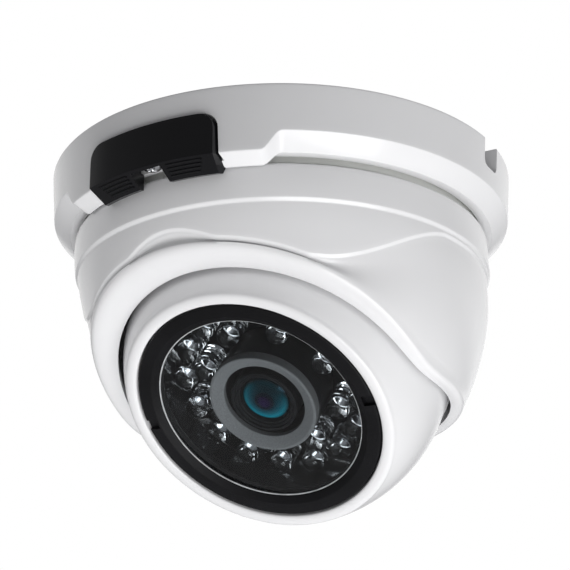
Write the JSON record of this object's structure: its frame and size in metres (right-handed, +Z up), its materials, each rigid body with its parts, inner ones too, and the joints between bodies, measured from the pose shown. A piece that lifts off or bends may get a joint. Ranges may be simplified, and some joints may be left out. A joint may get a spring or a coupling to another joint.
{
  "type": "dome cctv camera",
  "caption": "Ceiling dome camera: round base with a front lock latch, turning cover with an arched collar, and a swivelling eyeball with an infrared lamp ring round its lens.",
  "frame": {"origin": "centre of the ceiling mounting face, on the base's axis", "axes": "+Z up into the ceiling, -Y the camera's front with the lock latch and the arch of the collar, +X to the right seen from the front"},
  "size_m": [0.094, 0.0945, 0.0683],
  "materials": {
    "white_shell": "smooth gloss",
    "black_gloss": "gloss",
    "black_satin": "fine satin grain",
    "black_rubber": "matte",
    "plated_steel": "zinc plated",
    "screw_steel": "bright",
    "acetal": "satin",
    "clear_glass": "clear",
    "clear_epoxy": "clear",
    "coated_glass": "coated",
    "grey_foam": "matte foam",
    "lamp_board": "black solder mask",
    "circuit_board": "green solder mask",
    "chip": "satin"
  },
  "bodies": {
    "base": {"mounting_plate": "plated_steel", "base_ring": "white_shell", "glide_ring": "acetal"},
    "latch": {"latch_cover": "black_gloss"},
    "lock": {"lock_screw": "screw_steel"},
    "dome": {"turntable": "acetal", "dome_cover": "white_shell", "socket_ring": "black_satin", "socket_pad": "black_rubber", "clamp_screw_1": "screw_steel", "clamp_screw_2": "screw_steel", "clamp_screw_3": "screw_steel"},
    "swivel": {"cable_bush": "black_rubber"},
    "eyeball": {"ball_front_shell": "white_shell", "ball_rear_shell": "white_shell", "shell_seal": "black_rubber", "shell_screw_1": "screw_steel", "shell_screw_2": "screw_steel", "shell_screw_3": "screw_steel", "bezel_ring": "black_satin", "front_glass": "clear_glass", "glass_gasket": "black_rubber", "lamp_housing": "black_gloss", "lamp_board": "lamp_board", "lamp_01": "clear_epoxy", "lamp_02": "clear_epoxy", "lamp_03": "clear_epoxy", "lamp_04": "clear_epoxy", "lamp_05": "clear_epoxy", "lamp_06": "clear_epoxy", "lamp_07": "clear_epoxy", "lamp_08": "clear_epoxy", "lamp_09": "clear_epoxy", "lamp_10": "clear_epoxy", "lamp_11": "clear_epoxy", "lamp_12": "clear_epoxy", "lamp_13": "clear_epoxy", "lamp_14": "clear_epoxy", "lamp_15": "clear_epoxy", "lamp_16": "clear_epoxy", "lamp_17": "clear_epoxy", "lamp_18": "clear_epoxy", "lamp_19": "clear_epoxy", "lamp_20": "clear_epoxy", "lamp_21": "clear_epoxy", "lamp_22": "clear_epoxy", "lamp_23": "clear_epoxy", "lamp_24": "clear_epoxy", "lens_shield": "grey_foam", "lens_holder": "black_satin", "infrared_filter": "coated_glass", "sensor_board": "circuit_board", "image_sensor": "chip", "main_board": "circuit_board", "board_standoff_1": "screw_steel", "board_standoff_2": "screw_steel", "board_standoff_3": "screw_steel", "board_standoff_4": "screw_steel"},
    "lens": {"lens_barrel": "black_satin", "lens_front_element": "coated_glass"}
  },
  "joints": [
    {"name": "pan", "type": "hinge", "parent": "base", "child": "dome", "pos_m": [0, 0, -0.012], "axis": [0, 0, 1], "range_deg": [-180, 180]},
    {"name": "tilt", "type": "hinge", "parent": "dome", "child": "swivel", "pos_m": [0, 0.0025, -0.037], "axis": [-1, 0, 0], "range_deg": [-37.4, 27.6]},
    {"name": "roll", "type": "hinge", "parent": "swivel", "child": "eyeball", "pos_m": [0, 0.0025, -0.037], "axis": [0, -0.6074, -0.7944], "range_deg": [-180, 180]},
    {"name": "lens_focus", "type": "hinge", "parent": "eyeball", "child": "lens", "pos_m": [0, 0.0025, -0.037], "axis": [0, -0.6074, -0.7944], "range_deg": [-180, 180]},
    {"name": "latch_slide", "type": "slide", "parent": "base", "child": "latch", "axis": [0, -1, 0], "range_m": [0, 0.0025]},
    {"name": "lock_screw_turn", "type": "hinge", "parent": "base", "child": "lock", "pos_m": [0, -0.0447, -0.012], "axis": [0, 0, 1], "continuous": true}
  ]
}
